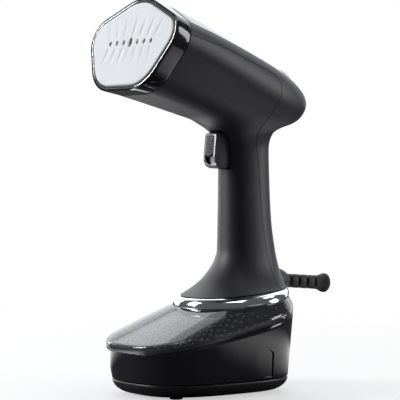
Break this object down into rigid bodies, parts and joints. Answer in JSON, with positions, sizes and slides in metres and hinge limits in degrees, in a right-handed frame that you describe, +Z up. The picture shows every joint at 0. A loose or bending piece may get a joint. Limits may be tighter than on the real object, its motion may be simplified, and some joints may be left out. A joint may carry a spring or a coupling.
{
  "type": "garment steamer",
  "caption": "Handheld garment steamer standing on its detachable water tank, with a tilted steam head, trigger grip and ribbed cord sleeve.",
  "frame": {"origin": "on the floor under the middle of the object's bounding box", "axes": "+Z up, -Y towards the steam plate, X across the width"},
  "size_m": [0.1056, 0.192, 0.2849],
  "materials": {
    "charcoal_shell": "satin",
    "black_gloss": "gloss",
    "smoked_clear": "gloss",
    "ceramic_plate": "satin",
    "trim_silver": "bright",
    "amber_lens": "gloss",
    "dark_satin": "satin",
    "dark_rubber": "matt",
    "seal_rubber": "matt",
    "cast_alloy": "cast",
    "heater_metal": "oxidised",
    "shield_foil": "bright",
    "copper_coil": "enamelled",
    "spring_steel": "bright",
    "cream_plastic": "satin",
    "board_green": "satin",
    "silicone_tube": "satin",
    "panel_blue_black": "gloss",
    "led_white": "gloss"
  },
  "bodies": {
    "tank": {"tank_body": "black_gloss", "tank_cover": "smoked_clear", "tank_seal": "dark_rubber", "pattern_panel": "panel_blue_black", "valve_body": "dark_satin", "pickup_tube": "silicone_tube", "pickup_filter": "cream_plastic", "bottom_tray": "dark_satin", "tray_screw_1": "spring_steel", "tray_screw_2": "spring_steel", "tray_screw_3": "spring_steel", "foot_front_left": "dark_rubber", "foot_front_right": "dark_rubber", "foot_rear_left": "dark_rubber", "foot_rear_right": "dark_rubber", "valve_spring": "spring_steel", "release_spring": "spring_steel"},
    "handset": {"main_shell": "charcoal_shell", "spine_cover": "charcoal_shell", "top_panel": "black_gloss", "indicator_lens": "amber_lens", "steam_plate": "ceramic_plate", "plate_gasket": "dark_rubber", "plate_trim_ring": "trim_silver", "head_collar": "black_gloss", "steam_chamber": "cast_alloy", "heating_element": "heater_metal", "thermostat": "cream_plastic", "thermal_fuse": "spring_steel", "heat_shield": "shield_foil", "pump_barrel": "cream_plastic", "pump_coil": "copper_coil", "pump_frame": "heater_metal", "pump_spring": "spring_steel", "pump_mount_front": "dark_rubber", "pump_mount_rear": "dark_rubber", "delivery_tube": "silicone_tube", "suction_tube": "silicone_tube", "control_board": "board_green", "status_led": "led_white", "button_switch": "dark_satin", "trigger_pin": "spring_steel", "trigger_spring": "spring_steel", "switch_bracket": "dark_satin", "microswitch": "dark_satin", "chrome_ring": "trim_silver", "handset_base": "dark_satin", "dock_oring": "seal_rubber", "cord_clamp": "dark_satin", "clamp_screw_1": "spring_steel", "clamp_screw_2": "spring_steel", "strain_relief": "dark_rubber"},
    "trigger": {"trigger": "charcoal_shell"},
    "trigger_lock": {"trigger_lock": "dark_satin"},
    "power_button": {"power_button": "dark_satin"},
    "switch_plunger": {"switch_plunger": "cream_plastic"},
    "pump_plunger": {"pump_plunger": "spring_steel"},
    "release_button": {"release_button": "dark_satin"},
    "filler_plug": {"filler_plug": "dark_rubber"},
    "valve_poppet": {"valve_poppet": "cream_plastic"}
  },
  "joints": [
    {"name": "handset_lift", "type": "slide", "parent": "tank", "child": "handset", "axis": [0, 0, 1], "range_m": [0, 0.06]},
    {"name": "trigger_hinge", "type": "hinge", "parent": "handset", "child": "trigger", "pos_m": [0, 0.00578, 0.1855], "axis": [1, 0, 0], "range_deg": [0, 5], "stiffness_Nm_per_rad": 0.35, "springref_deg": -5.73, "deforming": ["trigger_spring"]},
    {"name": "lock_slide", "type": "slide", "parent": "trigger", "child": "trigger_lock", "axis": [0, -0.0848, -0.9964], "range_m": [0, 0.0045]},
    {"name": "power_press", "type": "slide", "parent": "handset", "child": "power_button", "axis": [0, -0.3256, -0.9455], "range_m": [0, 0.0007], "stiffness_N_per_m": 800, "springref_m": -0.001},
    {"name": "switch_press", "type": "slide", "parent": "handset", "child": "switch_plunger", "axis": [0, 1, 0], "range_m": [0, 0.00092]},
    {"name": "pump_stroke", "type": "slide", "parent": "handset", "child": "pump_plunger", "axis": [0, -0.9455, 0.3256], "range_m": [0, 0.002], "stiffness_N_per_m": 300, "springref_m": -0.002, "deforming": ["pump_spring"]},
    {"name": "release_press", "type": "slide", "parent": "tank", "child": "release_button", "axis": [0, -1, 0], "range_m": [0, 0.0025], "stiffness_N_per_m": 500, "springref_m": -0.003, "deforming": ["release_spring"]},
    {"name": "filler_pull", "type": "slide", "parent": "tank", "child": "filler_plug", "axis": [-1, 0, 0], "range_m": [0, 0.015]},
    {"name": "valve_stroke", "type": "slide", "parent": "tank", "child": "valve_poppet", "axis": [0, 0, -1], "range_m": [0, 0.0014], "stiffness_N_per_m": 200, "springref_m": -0.003, "deforming": ["valve_spring"]}
  ],
  "couplings": [
    {"joint": "switch_press", "follows": "trigger_hinge", "m_per_rad": 0.0095}
  ]
}
